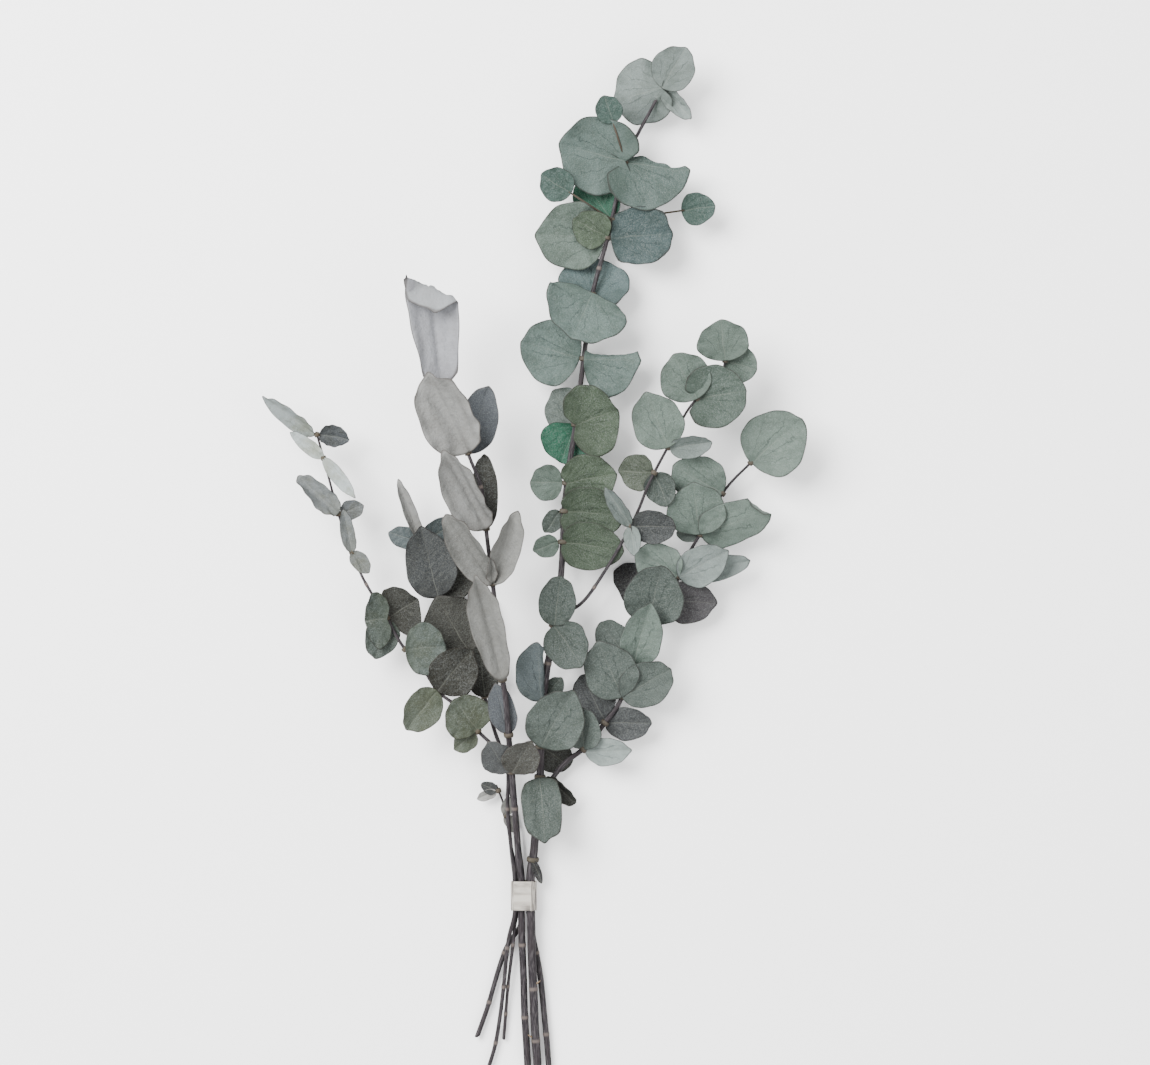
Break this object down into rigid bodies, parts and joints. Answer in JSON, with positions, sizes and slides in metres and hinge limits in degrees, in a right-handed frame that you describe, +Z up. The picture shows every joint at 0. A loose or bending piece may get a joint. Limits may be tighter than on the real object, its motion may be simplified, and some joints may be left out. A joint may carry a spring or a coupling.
{
  "type": "bunch of dried eucalyptus",
  "caption": "Loose tied bunch of dried silver-dollar eucalyptus sprigs with round paired leaves on thin woody stems, lying flat.",
  "frame": {"origin": "on the surface that the bunch lies on, under the middle of its bounding box", "axes": "+Y from the cut stem ends to the leafy tips, +X to the bunch's right seen from above, +Z up from the surface"},
  "size_m": [0.3688, 0.7104, 0.0817],
  "materials": {
    "leaf_green": "dry matt leaf, grey-green with darker mottling",
    "leaf_sage": "dry matt leaf, pale sage grey",
    "leaf_taupe": "dry matt leaf, light taupe grey",
    "leaf_dark": "dry matt leaf, dark brown-grey with pale midribs",
    "leaf_olive": "dry matt leaf, olive grey",
    "bark": "dry dark twig with lighter streaks",
    "tape": "creased translucent cream tape"
  },
  "bodies": {
    "root": {"back_leaves_01": "leaf_dark", "back_leaves_02": "leaf_dark", "back_leaves_03": "leaf_dark", "back_leaves_04": "leaf_dark", "back_stem": "bark", "front_leaves_01": "leaf_taupe", "front_leaves_02": "leaf_taupe", "front_leaves_03": "leaf_taupe", "front_leaves_04": "leaf_taupe", "front_leaves_05": "leaf_taupe", "front_leaves_06": "leaf_taupe", "front_leaves_07": "leaf_taupe", "front_stem": "bark", "left_leaves_01": "leaf_olive", "left_leaves_02": "leaf_olive", "left_leaves_03": "leaf_olive", "left_leaves_04": "leaf_olive", "left_leaves_05": "leaf_olive", "left_leaves_06": "leaf_olive", "left_leaves_07": "leaf_olive", "left_leaves_08": "leaf_olive", "left_stem": "bark", "right_leaves_01": "leaf_sage", "right_leaves_02": "leaf_sage", "right_leaves_03": "leaf_sage", "right_leaves_04": "leaf_sage", "right_leaves_05": "leaf_sage", "right_leaves_06": "leaf_sage", "right_leaves_07": "leaf_sage", "right_leaves_08": "leaf_sage", "right_leaves_09": "leaf_sage", "right_leaves_10": "leaf_sage", "right_stem": "bark", "short_leaves_01": "leaf_dark", "short_leaves_02": "leaf_dark", "short_stem": "bark", "side_leaves_01": "leaf_green", "side_leaves_02": "leaf_green", "side_leaves_03": "leaf_green", "side_leaves_04": "leaf_green", "side_leaves_05": "leaf_green", "side_stem": "bark", "tall_leaves_01": "leaf_green", "tall_leaves_02": "leaf_green", "tall_leaves_03": "leaf_green", "tall_leaves_04": "leaf_green", "tall_leaves_05": "leaf_green", "tall_leaves_06": "leaf_green", "tall_leaves_07": "leaf_green", "tall_leaves_08": "leaf_green", "tall_leaves_09": "leaf_green", "tall_leaves_10": "leaf_green", "tall_leaves_11": "leaf_green", "tall_leaves_12": "leaf_green", "tall_leaves_13": "leaf_green", "tall_leaves_14": "leaf_green", "tall_leaves_15": "leaf_green", "tall_stem": "bark", "tape": "tape"}
  },
  "joints": []
}
